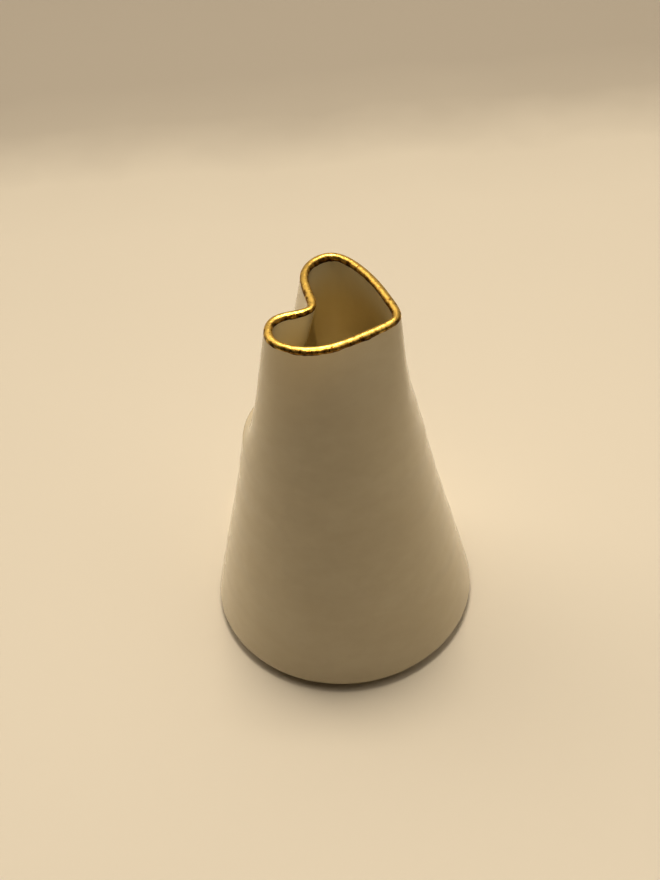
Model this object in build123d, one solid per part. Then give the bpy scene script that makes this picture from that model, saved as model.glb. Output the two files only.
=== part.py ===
from build123d import *
import math
import os

# Porcelain bud vase: a thrown cone whose mouth was squeezed into a heart while the clay was soft.
# Millimetres, +Z up. The origin is the centre of the foot on the surface it stands on.
# The point of the heart is towards +X, its dent towards -X and its two lobes along Y.

# Heights
rim_height = 108.4
foot_height = 2.0
floor_height = 6.0
gold_depth = 1.2
gold_edge = rim_height - gold_depth

# The round cone: radii that pull its wall, evenly spaced from the bottom edge to the rim
cone_radii = (36.9, 29.5, 18.6, 21.5)
edge_round = 1.7
edge_start = foot_height + edge_round

# Wall and coats
lip_thickness = 2.0
base_wall = 3.4
coat = 0.3
floor_round = 5.0

# The mouth: control points of a closed, smooth curve along the middle of the lip, from the heart's
# point round to the dent and back. The two lobes differ a little, because they were bent by hand.
lip_curve = [
    (19.5, 1.0), (14.0, 6.5), (8.0, 13.0), (-2.5, 20.0), (-8.0, 17.0), (-9.5, 10.0), (-4.0, 2.5),
    (-1.5, -1.5), (-5.5, -4.5), (-11.0, -7.5), (-8.5, -15.5), (0.0, -16.5), (7.5, -13.0), (14.5, -4.5),
]
dent_point = 7

# How the round cone turns into the heart, as fractions of the way up from the bottom edge
squeeze_start = 0.58
point_power = 1.5
lobe_power = 2.1
dent_start = 0.59
dent_power = 0.6
dent_toe = 0.12
dent_spread = 0.09

# Foot: a ring to stand on, cut back under the wall's rounded bottom edge
foot_outer = 30.5
foot_inner = 26.0
foot_recess = 1.2
recess_slope = 1.0
undercut_run = 0.8
undercut_rise = 1.3
undercut_end = (cone_radii[0] - edge_round - 0.8, foot_height + 0.4)
floor_middle = floor_height - 1.0

# How finely the lofts follow these shapes
steps_per_point = 60
points_round = 64
wall_steps = 16
bare_angles = (15, 25, 35, 45)
glazed_angles = (45, 60, 75)
floor_angles = (10, 25, 45, 67.5)
lip_angles = (0, 22.5, 45, 67.5, 90, 112.5, 135, 157.5, 180)


def curve_point(controls, place):
    """Point of a closed uniform cubic B-spline, place counting its control points from the first."""
    first = math.floor(place)
    t = place - first
    weights = (
        (1 - t) ** 3 / 6,
        (3 * t**3 - 6 * t**2 + 4) / 6,
        (-3 * t**3 + 3 * t**2 + 3 * t + 1) / 6,
        t**3 / 6,
    )
    near = [controls[(first + k - 1) % len(controls)] for k in range(4)]
    return tuple(sum(w * p[axis] for w, p in zip(weights, near)) for axis in (0, 1))


def evenly_spaced(controls, start, end, count):
    """Points a constant distance apart along the closed curve, from place start up to place end."""
    steps = steps_per_point * count
    dense = [curve_point(controls, start + (end - start) * k / steps) for k in range(steps + 1)]
    travel = [0.0]
    for a, b in zip(dense, dense[1:]):
        travel.append(travel[-1] + math.dist(a, b))
    points = []
    step = 0
    for k in range(count):
        while travel[step] < travel[-1] * k / count:
            step += 1
        points.append(dense[step])
    return points


def offset_outline(points, distance):
    """The closed outline moved outwards along its own normals, inwards where distance is negative."""
    moved = []
    for k, (x, y) in enumerate(points):
        before = points[k - 1]
        after = points[(k + 1) % len(points)]
        dx, dy = after[0] - before[0], after[1] - before[1]
        length = math.hypot(dx, dy)
        moved.append((x + distance * dy / length, y - distance * dx / length))
    return moved


half = points_round // 2
lip_middle = evenly_spaced(lip_curve, 0, dent_point, half)
lip_middle += evenly_spaced(lip_curve, dent_point, len(lip_curve), half)
lip_outside = offset_outline(lip_middle, lip_thickness / 2)


def cone_radius(up):
    """Outside radius of the round cone, up being 0 at the bottom edge and 1 at the rim."""
    a, b, c, d = cone_radii
    down = 1 - up
    return a * down**3 + 3 * b * up * down**2 + 3 * c * up**2 * down + d * up**3


def squeeze(up, turn):
    """How far the wall has turned into the heart, 0 to 1, at a height and a fraction of a turn."""
    side = (1 - math.cos(2 * math.pi * turn)) / 2
    power = point_power + (lobe_power - point_power) * side
    wall = max(0, (up - squeeze_start) / (1 - squeeze_start)) ** power
    rise = max(0, (up - dent_start) / (1 - dent_start))
    dent = (rise**2 / (rise + dent_toe) * (1 + dent_toe)) ** dent_power
    near_dent = math.exp(-(((turn - 0.5) / dent_spread) ** 2))
    return wall * (1 - near_dent) + dent * near_dent


def outside(height, inset):
    """Outline of the vase's outside at a height, moved inwards by the inset."""
    up = min(1, max(0, (height - foot_height) / (rim_height - foot_height)))
    radius = cone_radius(up)
    points = []
    for k, heart in enumerate(lip_outside):
        turn = k / points_round
        share = squeeze(up, turn)
        angle = 2 * math.pi * turn
        circle = (radius * math.cos(angle), radius * math.sin(angle))
        points.append(tuple(c + share * (h - c) for c, h in zip(circle, heart)))
    return offset_outline(points, -inset)


def half_curve(points, first, last):
    """Smooth curve through the closed outline's points from first to last, along its own direction."""
    count = len(points)
    ends = []
    for k in (first, last):
        ends.append(Vector(*points[(k + 1) % count]) - Vector(*points[(k - 1) % count]))
    through = [points[k % count] for k in range(first, last + 1)]
    shares = [k / (last - first) for k in range(last - first + 1)]
    return Edge.make_spline(through, tangents=[end.normalized() for end in ends], parameters=shares)


def section(height, inset):
    """Closed curve at a height: the vase's outline there, moved inwards by the inset."""
    points = [(x, y, height) for x, y in outside(height, inset)]
    return Wire([half_curve(points, 0, half), half_curve(points, half, points_round)])


def wall_thickness(height):
    up = (height - foot_height) / (rim_height - foot_height)
    return base_wall + (lip_thickness - base_wall) * up


def corner_stations(angles, centre, radius):
    """Heights around a rounded bottom corner, each with how far it stands back from the wall."""
    turns = [math.radians(a) for a in angles]
    return [(centre - radius * math.cos(a), radius * (1 - math.sin(a))) for a in turns]


def wall_stations(low, high):
    return [(low + (high - low) * k / wall_steps, 0) for k in range(wall_steps + 1)]


def bare_surface():
    """The lower part of the rounded bottom edge, which has no glaze."""
    stations = corner_stations(bare_angles, edge_start, edge_round)
    return [section(z, coat + back) for z, back in stations]


def outer_surface(depth):
    """The outside from the glaze's lower edge up to the gold, at a depth under the finished surface."""
    stations = corner_stations(glazed_angles, edge_start, edge_round)
    stations += wall_stations(edge_start, gold_edge)
    return [section(z, depth + back) for z, back in stations]


def lip_surface(depth):
    """Over the lip, from the gold's outer edge to its inner edge, at a depth under the finished surface."""
    radius = lip_thickness / 2 - depth
    high = rim_height - lip_thickness / 2
    sections = [section(gold_edge, depth), section((gold_edge + high) / 2, depth)]
    for angle in lip_angles:
        a = math.radians(angle)
        sections.append(section(high + radius * math.sin(a), lip_thickness / 2 - radius * math.cos(a)))
    for z in ((gold_edge + high) / 2, gold_edge):
        sections.append(section(z, wall_thickness(z) - depth))
    return sections


def inner_surface(depth):
    """The hollow from the floor up to the gold, at a depth under the finished surface."""
    low = floor_height + floor_round
    stations = corner_stations(floor_angles, low, floor_round + depth) + wall_stations(low, gold_edge)
    return [section(z, wall_thickness(z) - depth + back) for z, back in stations]


def closed_solid(lofts, rings, discs):
    """Solid bounded by smooth surfaces through the lofts' sections, narrow flat rings and flat discs."""
    faces = [face for sections in lofts for face in Shell.make_loft(sections).faces()]
    faces += [face for edges in rings for face in Shell.make_loft(edges, ruled=True).faces()]
    faces += [Face(edge) for edge in discs]
    return Solid(Shell(faces))


def foot_solid():
    """Turned foot ring with its shallow recess and undercut, reaching up into the floor."""
    profile = Polyline(
        (0, foot_recess),
        (foot_inner - recess_slope, foot_recess),
        (foot_inner, 0),
        (foot_outer, 0),
        (foot_outer + undercut_run, undercut_rise),
        undercut_end,
        (foot_inner, floor_middle),
        (0, floor_middle),
        close=True,
    )
    return revolve(Plane.XZ * make_face(profile), Axis.Z)


def make_body():
    """Porcelain body: the thrown and squeezed wall, its floor and its foot, fired as one piece."""
    bare, outer, lip, inner = bare_surface(), outer_surface(coat), lip_surface(coat), inner_surface(coat)
    vessel = closed_solid([bare, outer, lip, inner], [], [bare[0], inner[0]])
    return vessel + foot_solid()


def make_gold():
    """Gold lustre over the whole lip."""
    top, under = lip_surface(0), lip_surface(coat)
    return closed_solid([top, under], [(top[0], under[0]), (top[-1], under[-1])], [])


def make_outer_glaze():
    """Clear glaze on the outside, from the gold down to the bottom edge."""
    top, under = outer_surface(0), outer_surface(coat)
    return closed_solid([top, under], [(top[0], under[0]), (top[-1], under[-1])], [])


def make_inner_glaze():
    """Clear glaze on the wall and floor of the hollow, up to the gold."""
    top, under = inner_surface(0), inner_surface(coat)
    return closed_solid([top, under], [(top[-1], under[-1])], [top[0], under[0]])


os.makedirs("parts", exist_ok=True)

pieces = {
    "porcelain_body": make_body(),
    "outer_glaze": make_outer_glaze(),
    "inner_glaze": make_inner_glaze(),
    "gold_rim": make_gold(),
}
for name, piece in pieces.items():
    export_step(piece, f"parts/{name}.step")
    box = piece.bounding_box()
    print(f"{name}: {len(piece.solids())} solid, {piece.volume:.1f} mm3, z {box.min.Z:.2f} to {box.max.Z:.2f}")
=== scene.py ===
"""Looks of the porcelain bud vase: its glaze, bare clay and gold, the light and the camera."""

import math

import bpy
import numpy as np
from mathutils import Euler, Matrix, Vector


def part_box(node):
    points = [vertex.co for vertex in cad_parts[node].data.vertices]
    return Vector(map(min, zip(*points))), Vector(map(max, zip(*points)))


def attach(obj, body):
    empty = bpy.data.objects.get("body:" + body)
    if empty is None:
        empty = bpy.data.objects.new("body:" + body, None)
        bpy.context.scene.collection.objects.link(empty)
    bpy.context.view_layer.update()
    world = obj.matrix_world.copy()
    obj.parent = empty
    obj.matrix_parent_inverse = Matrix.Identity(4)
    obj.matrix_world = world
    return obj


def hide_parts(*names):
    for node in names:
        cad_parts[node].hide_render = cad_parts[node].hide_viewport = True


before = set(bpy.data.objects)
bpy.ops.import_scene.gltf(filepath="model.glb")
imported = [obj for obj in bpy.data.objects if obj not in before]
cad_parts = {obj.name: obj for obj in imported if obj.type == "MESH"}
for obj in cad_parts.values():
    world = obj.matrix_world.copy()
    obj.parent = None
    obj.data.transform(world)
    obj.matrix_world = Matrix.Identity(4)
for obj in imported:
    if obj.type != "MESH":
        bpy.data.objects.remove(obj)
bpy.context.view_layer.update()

MM = 0.001

# ---------------------------------------------------------------- sizes, in millimetres
RIM_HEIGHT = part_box("gold_rim")[1].z / MM
FOOT_HEIGHT = 2.0
FLOOR_HEIGHT = 6.0
GOLD_OUTSIDE = 1.2
GOLD_INSIDE = 1.5

# The round cone: radii that pull its wall, evenly spaced from the bottom edge to the rim
CONE_RADII = (36.9, 29.5, 18.6, 21.5)
EDGE_ROUND = 1.7
EDGE_START = FOOT_HEIGHT + EDGE_ROUND
LIP_THICKNESS = 2.0
BASE_WALL = 3.4
COAT = 0.3
FLOOR_ROUND = 5.0

# Closed smooth curve along the middle of the lip: heart's point, one lobe, dent, other lobe
LIP_CURVE = [
    (19.5, 1.0), (14.0, 6.5), (8.0, 13.0), (-2.5, 20.0), (-8.0, 17.0), (-9.5, 10.0), (-4.0, 2.5),
    (-1.5, -1.5), (-5.5, -4.5), (-11.0, -7.5), (-8.5, -15.5), (0.0, -16.5), (7.5, -13.0), (14.5, -4.5),
]
DENT_POINT = 7

# How the round cone turns into the heart, as fractions of the way up and powers of them
SQUEEZE_START, POINT_POWER, LOBE_POWER = 0.58, 1.5, 2.1
DENT_START, DENT_POWER, DENT_TOE, DENT_SPREAD = 0.59, 0.6, 0.12, 0.09

FOOT_OUTER, FOOT_INNER, FOOT_RECESS = 30.5, 26.0, 1.2

# Throwing rings: how far apart and how high they are, and where they fade out at both ends of the wall
RING_PITCH = 12.0
RING_DEPTH = 0.06
RING_MARGIN = 8
RING_FADE_LOW, RING_FADE_HIGH = 14, 22

# The gold stands proud of the glaze, with rounded edges that waver: waves of (count round it, height)
GOLD_RISE, GOLD_SINK, GOLD_EDGE_ROUND = 0.07, 0.06, 0.16
BRUSH_EDGE = ((3, 0.10), (7, 0.09), (13, 0.07), (23, 0.05), (41, 0.035), (67, 0.02))

# ---------------------------------------------------------------- mesh spacing
AROUND = 384
HALF = AROUND // 2
TURN = np.arange(AROUND) / AROUND
OUTSIDE_RINGS, INSIDE_RINGS, HIDDEN_RINGS = 150, 110, 40

# ---------------------------------------------------------------- camera, in metres and degrees
AZIMUTH, ELEVATION, ROLL = 23.0, 46.33, -4.70
CAMERA_PLACE = (-0.0010, -0.2389, 0.3122)
LENS = 54.1


# ---------------------------------------------------------------- the vase's form
def curve_points(controls, places):
    """Points of the closed uniform cubic B-spline at an array of places."""
    controls = np.array(controls, float)
    first = np.floor(places).astype(int)
    t = (places - first)[:, None]
    weights = ((1 - t) ** 3, 3 * t**3 - 6 * t**2 + 4, -3 * t**3 + 3 * t**2 + 3 * t + 1, t**3)
    return sum(w * controls[(first + k - 1) % len(controls)] for k, w in enumerate(weights)) / 6


def evenly_spaced(controls, start, end, count):
    """Points a constant distance apart along the closed curve, from start up to end."""
    dense = curve_points(controls, np.linspace(start, end, 60 * count + 1))
    travel = np.append(0, np.cumsum(np.hypot(*np.diff(dense, axis=0).T)))
    wanted = travel[-1] * np.arange(count) / count
    return np.stack([np.interp(wanted, travel, dense[:, axis]) for axis in (0, 1)], 1)


def outward(step):
    """Unit normals of a closed outline from the steps along it, which run anticlockwise."""
    step = step / np.linalg.norm(step, axis=-1, keepdims=True)
    return np.stack([step[..., 1], -step[..., 0]], -1)


lip_middle = np.vstack([
    evenly_spaced(LIP_CURVE, 0, DENT_POINT, HALF),
    evenly_spaced(LIP_CURVE, DENT_POINT, len(LIP_CURVE), HALF),
])
lip_step = np.roll(lip_middle, -1, axis=0) - np.roll(lip_middle, 1, axis=0)
lip_outside = lip_middle + outward(lip_step) * LIP_THICKNESS / 2
circle = np.stack([np.cos(2 * np.pi * TURN), np.sin(2 * np.pi * TURN)], 1)


def share_up(height):
    """A height as a share of the way from the bottom edge, 0, to the rim, 1."""
    return np.clip((height - FOOT_HEIGHT) / (RIM_HEIGHT - FOOT_HEIGHT), 0, 1)


def cone_radius(up):
    """Outside radius of the round cone, up being 0 at the bottom edge and 1 at the rim."""
    a, b, c, d = CONE_RADII
    down = 1 - up
    return a * down**3 + 3 * b * up * down**2 + 3 * c * up**2 * down + d * up**3


def squeeze(up, turn):
    """How far the wall has turned into the heart, from 0 to 1."""
    side = (1 - np.cos(2 * np.pi * turn)) / 2
    power = POINT_POWER + (LOBE_POWER - POINT_POWER) * side
    wall = np.clip((up - SQUEEZE_START) / (1 - SQUEEZE_START), 0, 1) ** power
    rise = np.clip((up - DENT_START) / (1 - DENT_START), 0, 1)
    dent = (rise**2 / (rise + DENT_TOE) * (1 + DENT_TOE)) ** DENT_POWER
    near_dent = np.exp(-(((turn - 0.5) / DENT_SPREAD) ** 2))
    return wall * (1 - near_dent) + dent * near_dent


def plan(height, shift=0):
    """The outside at each height, seen from above, for every place round it or its neighbour."""
    up = share_up(height)
    part = squeeze(up, np.roll(TURN, -shift))[..., None]
    round_form = cone_radius(up)[..., None] * np.roll(circle, -shift, 0)
    return round_form * (1 - part) + np.roll(lip_outside, -shift, 0) * part


def wall_thickness(height):
    return BASE_WALL + (LIP_THICKNESS - BASE_WALL) * share_up(height)


def thrown_relief(height):
    """How far the finger's spiral track and the slow wobble of the wheel move the outside."""
    turn = TURN[None, :]
    above, below = height - RING_MARGIN, RIM_HEIGHT - RING_MARGIN - height
    fade = np.clip(above / RING_FADE_LOW, 0, 1) * np.clip(below / RING_FADE_HIGH, 0, 1)
    phase = 2 * np.pi * (height / RING_PITCH + turn)
    track = np.sin(phase + 0.3 * np.sin(phase)) * (1 + 0.35 * np.sin(0.31 * height + 2 * np.pi * turn))
    wobble = 0.5 * np.sin(4 * np.pi * turn + height / 31) + 0.3 * np.sin(6 * np.pi * turn - height / 19)
    return RING_DEPTH * fade * (track + wobble)


def ring_points(height, inset):
    """Points round the vase at heights and insets that may change from ring to ring or round it."""
    height = np.broadcast_to(height, (len(height), AROUND))
    inset = np.broadcast_to(inset, height.shape)
    normal = outward(plan(height, 1) - plan(height, -1))
    flat = plan(height) + normal * (thrown_relief(height) - inset)[..., None]
    return np.concatenate([flat, height[..., None]], -1)


def rings_at(heights, insets):
    """Level rings, one for each height and its inset."""
    return ring_points(np.asarray(heights, float)[:, None], np.asarray(insets, float)[:, None])


# ---------------------------------------------------------------- meshes
def mesh_piece(name, rings, loop=False, start_cap=False, end_cap=False):
    """A smooth mesh through rings of points, with quads between them.

    loop joins the last ring to the first. A cap closes an end with a fan to its centre.
    """
    count = len(rings)
    vertices = list(map(tuple, rings.reshape(-1, 3) * MM))
    faces = []
    for r in range(count if loop else count - 1):
        low, high = r * AROUND, (r + 1) % count * AROUND
        for k in range(AROUND):
            after = (k + 1) % AROUND
            faces.append((low + k, low + after, high + after, high + k))
    for wanted, ring, flip in ((start_cap, 0, True), (end_cap, count - 1, False)):
        if wanted:
            vertices.append(tuple(rings[ring].mean(0) * MM))
            centre = len(vertices) - 1
            for k in range(AROUND):
                edge = (ring * AROUND + k, ring * AROUND + (k + 1) % AROUND)
                faces.append((centre, *reversed(edge)) if flip else (centre, *edge))
    mesh = bpy.data.meshes.new(name)
    mesh.from_pydata(vertices, [], faces)
    mesh.validate()
    mesh.shade_smooth()
    piece = bpy.data.objects.new(name, mesh)
    bpy.context.scene.collection.objects.link(piece)
    return piece


def corner(angles, centre, radius):
    """Heights round a rounded bottom corner, and how far each stands back from the wall."""
    turns = np.radians(angles)
    return centre - radius * np.cos(turns), radius * (1 - np.sin(turns))


def outside_rings(depth, wall_rings, bottom_angles):
    """The outside at a depth under its finished surface, from the bottom corner up to the lip."""
    low, back = corner(bottom_angles, EDGE_START, EDGE_ROUND)
    wall = np.linspace(EDGE_START, RIM_HEIGHT - LIP_THICKNESS / 2, wall_rings)
    return rings_at(np.append(low, wall), depth + np.append(back, 0 * wall))


def lip_rings(depth, first_angle, last_angle, count):
    """Round the top of the lip; 0 degrees is its outside, 90 its crest and 180 its inside."""
    turns = np.radians(np.linspace(first_angle, last_angle, count))
    radius = LIP_THICKNESS / 2 - depth
    heights = RIM_HEIGHT - LIP_THICKNESS / 2 + radius * np.sin(turns)
    return rings_at(heights, LIP_THICKNESS / 2 - radius * np.cos(turns))


def inside_rings(depth, wall_rings, bottom_angles):
    """The hollow at a depth under its finished surface, from the lip down to the floor's corner."""
    wall = np.linspace(RIM_HEIGHT - LIP_THICKNESS / 2, FLOOR_HEIGHT + FLOOR_ROUND, wall_rings)
    low, back = corner(bottom_angles, FLOOR_HEIGHT + FLOOR_ROUND, FLOOR_ROUND + depth)
    heights = np.append(wall, low)
    return rings_at(heights, wall_thickness(heights) - depth + np.append(0 * wall, back))


def disc_rings(edge_ring, shares, rise):
    """Rings shrinking from an edge towards its centre, rising a little on the way."""
    centre = edge_ring.mean(0)
    return np.array([centre + (edge_ring - centre) * s + (0, 0, rise * (1 - s * s)) for s in shares])


def clay_inside():
    """The clay's surface in the hollow, under the glaze: its wall, then its floor."""
    wall = inside_rings(COAT, HIDDEN_RINGS, (70, 45, 20, 4))
    return np.vstack([wall, disc_rings(wall[-1], (0.8, 0.5, 0.2), 0.3)])


def make_outer_glaze():
    """Glaze on the outside, from its rolled lower edge up to the crest of the lip."""
    top = outside_rings(0, OUTSIDE_RINGS, (45, 55, 65, 75, 85))
    lip = lip_rings(0, 9, 90, 9)
    under_lip = lip_rings(COAT, 90, 0, 5)
    under = outside_rings(COAT, HIDDEN_RINGS, (45, 60, 75))[::-1]
    rolled = rings_at([EDGE_START - 0.80 * EDGE_ROUND], [0.33 * EDGE_ROUND + 0.1])
    return mesh_piece("glaze_outside", np.vstack([rolled, top, lip, under_lip, under]), loop=True)


def make_inner_glaze():
    """Glaze on the hollow's wall and floor, from the crest of the lip downwards."""
    lip, under_lip = lip_rings(0, 90, 171, 9), lip_rings(COAT, 90, 180, 5)
    wall = inside_rings(0, INSIDE_RINGS, (88, 78, 66, 54, 42, 30, 18, 6))
    floor = disc_rings(wall[-1], (0.94, 0.86, 0.7, 0.5, 0.3, 0.12, 0.03), 0.5)
    rings = np.vstack([clay_inside()[::-1], under_lip[::-1], lip, wall, floor])
    return mesh_piece("glaze_inside", rings, start_cap=True, end_cap=True)


def make_body():
    """The fired clay itself; only its bare bottom edge and foot can be seen."""
    bare = outside_rings(COAT, HIDDEN_RINGS, (10, 20, 30, 40, 50, 60, 75))
    edge = cone_radius(share_up(EDGE_START)) - EDGE_ROUND - COAT
    # Radius and height from the middle outwards: recess, inner corner, ring to stand on, undercut
    profile = [
        (0.6, FOOT_RECESS + 0.25), (FOOT_INNER * 0.5, FOOT_RECESS + 0.1), (FOOT_INNER - 1.4, FOOT_RECESS),
        (FOOT_INNER - 0.75, FOOT_RECESS - 0.12), (FOOT_INNER - 0.35, 0.45), (FOOT_INNER, 0.12),
        (FOOT_INNER + 0.25, 0.02), (FOOT_INNER + 0.6, 0), (FOOT_OUTER - 0.6, 0), (FOOT_OUTER - 0.2, 0.03),
        (FOOT_OUTER + 0.1, 0.2), (FOOT_OUTER + 0.45, 0.7), (FOOT_OUTER + 0.85, 1.1), (FOOT_OUTER + 1.4, 1.4),
        (FOOT_OUTER + 2.2, 1.62), (edge - 1.2, 1.86), (edge - 0.3, 1.98),
    ]
    foot = np.array([np.append(circle * radius, np.full((AROUND, 1), z), 1) for radius, z in profile])
    rings = np.vstack([foot, bare, lip_rings(COAT, 10, 170, 9), clay_inside()])
    return mesh_piece("porcelain_bare", rings, start_cap=True, end_cap=True)


def ragged(seed, waves):
    """A smooth closed line round the rim, the sum of waves of (count round it, height)."""
    draw = np.random.default_rng(seed)
    line = np.zeros(AROUND)
    for count, height in waves:
        line += height * np.sin(2 * np.pi * (count * TURN + draw.random()))
    return line


def make_gold():
    """Gold painted over the lip: a thin raised band whose two edges waver like a brush line."""
    radius = LIP_THICKNESS / 2
    high = RIM_HEIGHT - radius
    outer_end = GOLD_OUTSIDE - radius + ragged(5, BRUSH_EDGE)
    inner_end = GOLD_INSIDE - radius + ragged(8, BRUSH_EDGE)
    arc = math.pi * radius
    length = outer_end + arc + inner_end

    def band(shares, rise, edge_round=None):
        """Rings across the band, raised over the glaze or sunk into it."""
        rings = []
        for s in shares:
            travel = s * length
            angle = np.clip((travel - outer_end) / radius, 0, math.pi)
            below = np.where(travel < outer_end, outer_end - travel, np.maximum(0, travel - outer_end - arc))
            edge = np.minimum(travel, length - travel)
            r = radius + (rise * (1 - np.exp(-edge / edge_round)) if edge_round else rise)
            height = high - below + r * np.sin(angle)
            inside = wall_thickness(height) - LIP_THICKNESS
            inset = radius - r * np.cos(angle) + np.where(angle >= math.pi, inside, 0)
            rings.append(ring_points(height[None, :], inset[None, :]))
        return np.vstack(rings)

    top = band(np.linspace(0, 1, 40), GOLD_RISE, GOLD_EDGE_ROUND)
    under = band(np.linspace(1, 0, 14), -GOLD_SINK)
    return mesh_piece("gold_lustre", np.vstack([top, under]), loop=True)


# ---------------------------------------------------------------- materials
class Nodes:
    """Short names for building the node tree of a material or world."""

    def __init__(self, owner):
        owner.use_nodes = True
        self.owner = owner
        self.tree = owner.node_tree

    def add(self, kind, inputs=None, **settings):
        """A new node with its settings, and its inputs set to constants or linked to outputs."""
        node = self.tree.nodes.new("ShaderNode" + kind)
        for key, value in settings.items():
            setattr(node, key, value)
        self.feed(node, inputs or {})
        return node

    def feed(self, node, inputs):
        for socket, value in inputs.items():
            if isinstance(value, bpy.types.NodeSocket):
                self.tree.links.new(value, node.inputs[socket])
            else:
                node.inputs[socket].default_value = value

    def finish(self, inputs):
        """The material, once its shader's inputs are set."""
        self.feed(self.tree.nodes["Principled BSDF"], inputs)
        return self.owner


def material_nodes(name):
    """A new material's nodes and the place on the object that its patterns follow."""
    nodes = Nodes(bpy.data.materials.new(name))
    return nodes, nodes.add("TexCoord").outputs["Object"]


def noise(nodes, place, size_mm, detail, scale=(1, 1, 1)):
    """Noise whose bumps are about size_mm across."""
    stretched = nodes.add("Mapping", {"Vector": place, "Scale": scale}).outputs[0]
    inputs = {"Vector": stretched, "Scale": 1 / (size_mm * MM), "Detail": detail}
    return nodes.add("TexNoise", inputs).outputs["Fac"]


def times_plus(nodes, first, second, third):
    """first * second + third"""
    return nodes.add("Math", {0: first, 1: second, 2: third}, operation="MULTIPLY_ADD").outputs[0]


def between(nodes, value, low, high, to_low=0.0, to_high=1.0, **settings):
    """A value's place between low and high, from to_low up to to_high."""
    inputs = {"Value": value, "From Min": low, "From Max": high, "To Min": to_low, "To Max": to_high}
    return nodes.add("MapRange", inputs, **settings).outputs[0]


def axis(nodes, place, letter):
    return nodes.add("SeparateXYZ", {"Vector": place}).outputs[letter]


def ramp(nodes, value, stops):
    """Colours along a value from 0 to 1."""
    node = nodes.add("ValToRGB", {"Fac": value})
    elements = node.color_ramp.elements
    while len(elements) < len(stops):
        elements.new(0.5)
    for element, (place, shade) in zip(elements, stops):
        element.position = place
        element.color = (*shade, 1)
    return node.outputs["Color"]


def grey_ramp(nodes, value, stops):
    """Greys along a value from 0 to 1, for roughness and relief."""
    return ramp(nodes, value, [(place, (shade,) * 3) for place, shade in stops])


def relief(nodes, height, strength, depth_mm, under=None):
    """Normals of a bumpy surface, which may lie on another one."""
    inputs = {"Height": height, "Strength": strength, "Distance": depth_mm * MM}
    if under is not None:
        inputs["Normal"] = under
    return nodes.add("Bump", inputs).outputs[0]


# Colours as linear red, green and blue
GLAZE_PALE, GLAZE_DEEP = (0.67, 0.58, 0.405), (0.64, 0.545, 0.37)
# The inner glaze's colours are painted light: a paler, warmer copy of the outer glaze for warm light bouncing
# in the hollow, and paler still towards the lip
INNER_PALE_PAINTED_LIGHT, INNER_DEEP_PAINTED_LIGHT, INNER_RIM_PAINTED_LIGHT = (0.90, 0.77, 0.44), (0.88, 0.745, 0.41), (0.99, 0.93, 0.76)
CLAY_SHADES = ((0.3, (0.66, 0.58, 0.44)), (0.7, (0.78, 0.72, 0.60)))
# Gold from near black low on the band up to bright on the crest: partly thinner lustre, partly painted dark
# reflection
GOLD_THIN_LUSTRE_AND_PAINTED_SHADE = ((0.28, (0.05, 0.02, 0.005)), (0.66, (0.38, 0.20, 0.04)), (0.96, (0.84, 0.58, 0.16)))
# Painted shade on the floor, from near to far: slowly darker, then much darker over the far end
FLOOR_PAINTED_SHADE = (
    (0.0, (0.835, 0.778, 0.690)), (0.30, (0.80, 0.745, 0.66)), (0.74, (0.735, 0.682, 0.600)),
    (0.82, (0.70, 0.648, 0.568)), (0.91, (0.52, 0.474, 0.412)), (0.98, (0.480, 0.435, 0.378)),
)


def glaze_material(name, pale, deep, rim=None):
    """Clear gloss glaze on warm white porcelain: pooled tints, faint ripples and fine pits.

    Where a rim colour is given, the glaze's colour turns to it on the way up to the lip, as painted light near
    the rim.
    """
    nodes, place = material_nodes(name)
    pooled = noise(nodes, place, 26, 2.0, (1, 1, 2.2))
    cloud = noise(nodes, place, 5, 4.0, (1, 1, 1.6))
    tint_and_painted_light = ramp(nodes, times_plus(nodes, pooled, cloud, 0.22), ((0.36, deep), (0.62, pale)))
    if rim:
        # Painted light: over the top 16 mm below the lip the colour turns to the paler rim colour
        low, high = (RIM_HEIGHT - 16) * MM, (RIM_HEIGHT - 1) * MM
        painted_rim_light = between(nodes, axis(nodes, place, "Z"), low, high, interpolation_type="SMOOTHSTEP")
        # Inputs 6 and 7 and output 2 of this node are its two colours and their mixture
        tint_and_painted_light = nodes.add("Mix", {"Factor": painted_rim_light, 6: tint_and_painted_light, 7: (*rim, 1)}, data_type="RGBA").outputs[2]
    smear = noise(nodes, place, 9, 3.0, (1, 1, 2.5))
    ripples = relief(nodes, noise(nodes, place, 3.2, 2.0), 0.15, 0.03)
    pits = nodes.add("TexVoronoi", {"Vector": place, "Scale": 1 / (1.4 * MM)}).outputs["Distance"]
    return nodes.finish({
        "Base Color": tint_and_painted_light,
        "Roughness": grey_ramp(nodes, smear, ((0.3, 0.16), (0.7, 0.25))),
        "Normal": relief(nodes, grey_ramp(nodes, pits, ((0.0, 0.0), (0.07, 1.0))), 0.1, 0.01, ripples),
        "IOR": 1.5,
        "Coat Weight": 0.5,
        "Coat Roughness": 0.12,
    })


def bare_material():
    """Unglazed fired porcelain: dry, fine-grained, with turning lines from the trimming tool."""
    nodes, place = material_nodes("bare_porcelain")
    grain = noise(nodes, place, 0.5, 6.0)
    lines = nodes.add(
        "TexWave", {"Vector": place, "Scale": 420, "Distortion": 0.6}, wave_type="RINGS", rings_direction="Z"
    )
    turned = relief(nodes, lines.outputs["Fac"], 0.25, 0.06)
    return nodes.finish({
        "Base Color": ramp(nodes, noise(nodes, place, 12, 4.0), CLAY_SHADES),
        "Roughness": grey_ramp(nodes, grain, ((0.3, 0.6), (0.7, 0.85))),
        "Normal": relief(nodes, grain, 0.4, 0.05, turned),
    })


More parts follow.
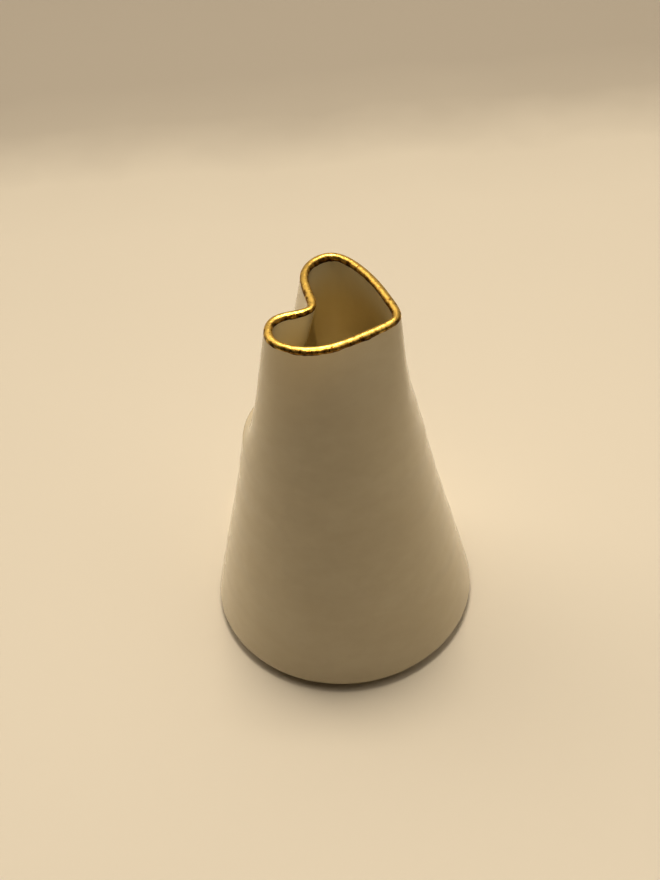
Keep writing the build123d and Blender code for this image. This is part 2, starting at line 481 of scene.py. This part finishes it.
def gold_material():
    """Fired gold lustre: bright on the crest, darker down both sides, partly from thinner lustre and partly as
    a painted dark reflection.
    """
    nodes, place = material_nodes("gold_lustre")
    low, high = (RIM_HEIGHT - 1.3) * MM, RIM_HEIGHT * MM
    # Painted dark reflection, together with thinner lustre: the colour darkens over the band's lowest 1.3 mm on
    # both sides
    thin_lustre_and_painted_shade = between(nodes, axis(nodes, place, "Z"), low, high, -0.74, 0.10)
    patch = noise(nodes, place, 1.3, 5.0)
    brush = noise(nodes, place, 0.55, 6.0, (1, 1, 0.35))
    streaks = relief(nodes, brush, 0.5, 0.06)
    return nodes.finish({
        "Base Color": ramp(nodes, times_plus(nodes, patch, 2.0, thin_lustre_and_painted_shade), GOLD_THIN_LUSTRE_AND_PAINTED_SHADE),
        "Roughness": grey_ramp(nodes, brush, ((0.3, 0.24), (0.75, 0.46))),
        "Normal": relief(nodes, patch, 0.8, 0.20, streaks),
        "Metallic": 1.0,
    })


def floor_material():
    """Pale cream tabletop with painted shade: a little darker step by step farther from the camera, and much
    darker over its far end.
    """
    nodes, place = material_nodes("pale_floor")
    turned = nodes.add("Mapping", {"Vector": place, "Rotation": (0, 0, math.radians(-AZIMUTH))})
    away = axis(nodes, turned.outputs[0], "Y")
    wavering = times_plus(nodes, noise(nodes, place, 60, 3.0), 0.03, away)
    # Painted shade: the floor's colour darkens along the direction away from the camera
    shade = ramp(nodes, between(nodes, wavering, -0.14, 0.31), FLOOR_PAINTED_SHADE)
    return nodes.finish({"Base Color": shade, "Roughness": 0.8, "IOR": 1.3})


# ---------------------------------------------------------------- the object
def place_piece(piece, material, node):
    piece.data.materials.append(material)
    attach(piece, "root")
    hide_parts(node)


outer_look = glaze_material("glaze", GLAZE_PALE, GLAZE_DEEP)
# The inside gets a paler, warmer copy of the glaze as painted light
inner_look_painted_light = glaze_material("glaze_inner_painted_light", INNER_PALE_PAINTED_LIGHT, INNER_DEEP_PAINTED_LIGHT, INNER_RIM_PAINTED_LIGHT)
place_piece(make_body(), bare_material(), "porcelain_body")
place_piece(make_outer_glaze(), outer_look, "outer_glaze")
place_piece(make_inner_glaze(), inner_look_painted_light, "inner_glaze")
place_piece(make_gold(), gold_material(), "gold_rim")

# ---------------------------------------------------------------- floor, light and camera
WARM = (1.0, 0.90, 0.74)
GLOW = (1.0, 0.76, 0.42)
view_turn = Matrix.Rotation(math.radians(AZIMUTH), 3, "Z")


def seen(right, away, up):
    """A place given to the camera's right, away from it along the floor, and up, in metres."""
    return view_turn @ Vector((right, away, up))


def make_floor(half_width=3.0):
    corners = ((-1, -1), (1, -1), (1, 1), (-1, 1))
    mesh = bpy.data.meshes.new("floor")
    mesh.from_pydata([seen(x * half_width, y * half_width, 0) for x, y in corners], [], [(0, 1, 2, 3)])
    mesh.materials.append(floor_material())
    floor = bpy.data.objects.new("floor", mesh)
    bpy.context.scene.collection.objects.link(floor)


def make_camera():
    data = bpy.data.cameras.new("camera")
    data.sensor_fit = "AUTO"
    data.sensor_width = 36
    data.lens = LENS
    data.clip_start, data.clip_end = 0.01, 20
    camera = bpy.data.objects.new("camera", data)
    camera.location = seen(*CAMERA_PLACE)
    tilt = Euler((math.radians(90 - ELEVATION), 0, math.radians(AZIMUTH))).to_matrix()
    camera.rotation_euler = (tilt @ Matrix.Rotation(math.radians(ROLL), 3, "Z")).to_euler()
    bpy.context.scene.collection.objects.link(camera)
    bpy.context.scene.camera = camera


def make_lamp(name, kind, place, target, power, colour, **settings):
    """A lamp at a place, aimed at a target, with the settings of its kind."""
    light = bpy.data.lights.new(name, kind)
    light.energy = power
    light.color = colour
    for key, value in settings.items():
        setattr(light, key, value)
    lamp = bpy.data.objects.new(name, light)
    lamp.location = place
    lamp.rotation_euler = (target - place).to_track_quat("-Z", "Y").to_euler()
    bpy.context.scene.collection.objects.link(lamp)


def make_lights():
    """A high lamp behind the vase, a broad dim ceiling, and two narrow beams into the mouth."""
    rim = RIM_HEIGHT * MM
    panel = {"shape": "RECTANGLE"}
    beam = {"spot_blend": 1.0, "shadow_soft_size": 0.01}
    make_lamp("key", "AREA", seen(0.04, 0.275, 1.2), seen(0, 0, 0), 7.9, WARM,
              size=0.40, size_y=0.20, **panel)
    make_lamp("ceiling", "AREA", seen(-0.45, 0.42, 1.0), seen(-0.45, 0.42, 0), 11, WARM,
              size=3.6, size_y=0.9, **panel)
    make_lamp("mouth", "SPOT", seen(0.0, -0.34, 0.86), seen(0.003, 0.001, rim), 15, GLOW,
              spot_size=math.radians(2.1), **beam)
    make_lamp("lobe", "SPOT", seen(0.08, -0.30, 0.86), seen(-0.007, -0.010, rim), 20, GLOW,
              spot_size=math.radians(1.3), **beam)


def make_room(turn=15, strength=0.5):
    """Soft light from a bright side round to a dark one; the camera sees a plain backdrop instead."""
    world = bpy.data.worlds.new("room")
    nodes = Nodes(world)
    direction = nodes.add("TexCoord").outputs["Generated"]
    rotation = (0, 0, math.radians(-AZIMUTH - turn))
    turned = nodes.add("Mapping", {"Vector": direction, "Rotation": rotation})
    shades = ((0.0, (0.030, 0.022, 0.012)), (0.65, (1.0, 0.88, 0.70)))
    light = world.node_tree.nodes["Background"]
    nodes.feed(light, {"Color": ramp(nodes, axis(nodes, turned.outputs[0], "Y"), shades), "Strength": strength})
    backdrop = nodes.add("Background", {"Color": (0.10, 0.08, 0.058, 1)})
    camera_ray = nodes.add("LightPath").outputs["Is Camera Ray"]
    either = nodes.add("MixShader", {0: camera_ray, 1: light.outputs[0], 2: backdrop.outputs[0]})
    nodes.feed(world.node_tree.nodes["World Output"], {"Surface": either.outputs[0]})
    bpy.context.scene.world = world


make_floor()
make_camera()
make_lights()
make_room()
bpy.context.scene.view_settings.view_transform = "Standard"
bpy.context.scene.view_settings.gamma = 0.85
